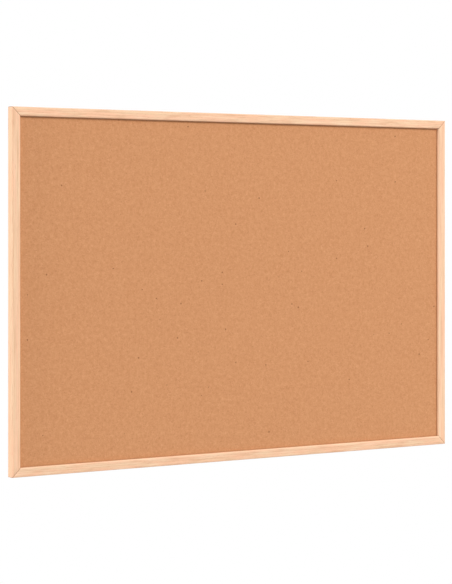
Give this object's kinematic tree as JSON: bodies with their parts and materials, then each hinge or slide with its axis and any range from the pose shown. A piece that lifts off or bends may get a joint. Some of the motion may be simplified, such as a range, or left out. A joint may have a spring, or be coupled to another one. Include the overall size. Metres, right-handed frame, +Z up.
{
  "type": "cork bulletin board",
  "caption": "Cork bulletin board for a wall: a mitred wooden frame round a cork and softboard panel, hung by swinging rings on strap hangers.",
  "frame": {"origin": "on the wall plane, midway between the two hooks that bear in the hanger rings", "axes": "+X to the right seen from the front, +Y from the board into the wall, +Z up; the cork faces -Y"},
  "size_m": [0.9, 0.019, 0.6],
  "materials": {
    "oak": "satin",
    "cork": "matte",
    "softboard": "matte",
    "kraft_paper": "matte",
    "bright_steel": "satin",
    "zinc_plate": "satin",
    "felt": "matte"
  },
  "bodies": {
    "board": {"top_rail": "oak", "bottom_rail": "oak", "left_stile": "oak", "right_stile": "oak", "cork_sheet": "cork", "softboard_core": "softboard", "backing_paper": "kraft_paper", "top_left_v_nails": "bright_steel", "top_right_v_nails": "bright_steel", "bottom_left_v_nails": "bright_steel", "bottom_right_v_nails": "bright_steel", "top_panel_points": "bright_steel", "bottom_panel_points": "bright_steel", "left_panel_points": "bright_steel", "right_panel_points": "bright_steel", "left_hanger_strap": "zinc_plate", "right_hanger_strap": "zinc_plate", "left_hanger_screw": "zinc_plate", "right_hanger_screw": "zinc_plate", "left_wall_pad": "felt", "right_wall_pad": "felt"},
    "left_ring": {"left_hanger_ring": "zinc_plate"},
    "right_ring": {"right_hanger_ring": "zinc_plate"}
  },
  "joints": [
    {"name": "left_ring_swing", "type": "hinge", "parent": "board", "child": "left_ring", "pos_m": [-0.443, -0.00225, -0.00818], "axis": [-1, 0, 0], "range_deg": [0, 186]},
    {"name": "right_ring_swing", "type": "hinge", "parent": "board", "child": "right_ring", "pos_m": [0.443, -0.00225, -0.00818], "axis": [-1, 0, 0], "range_deg": [0, 186]}
  ]
}
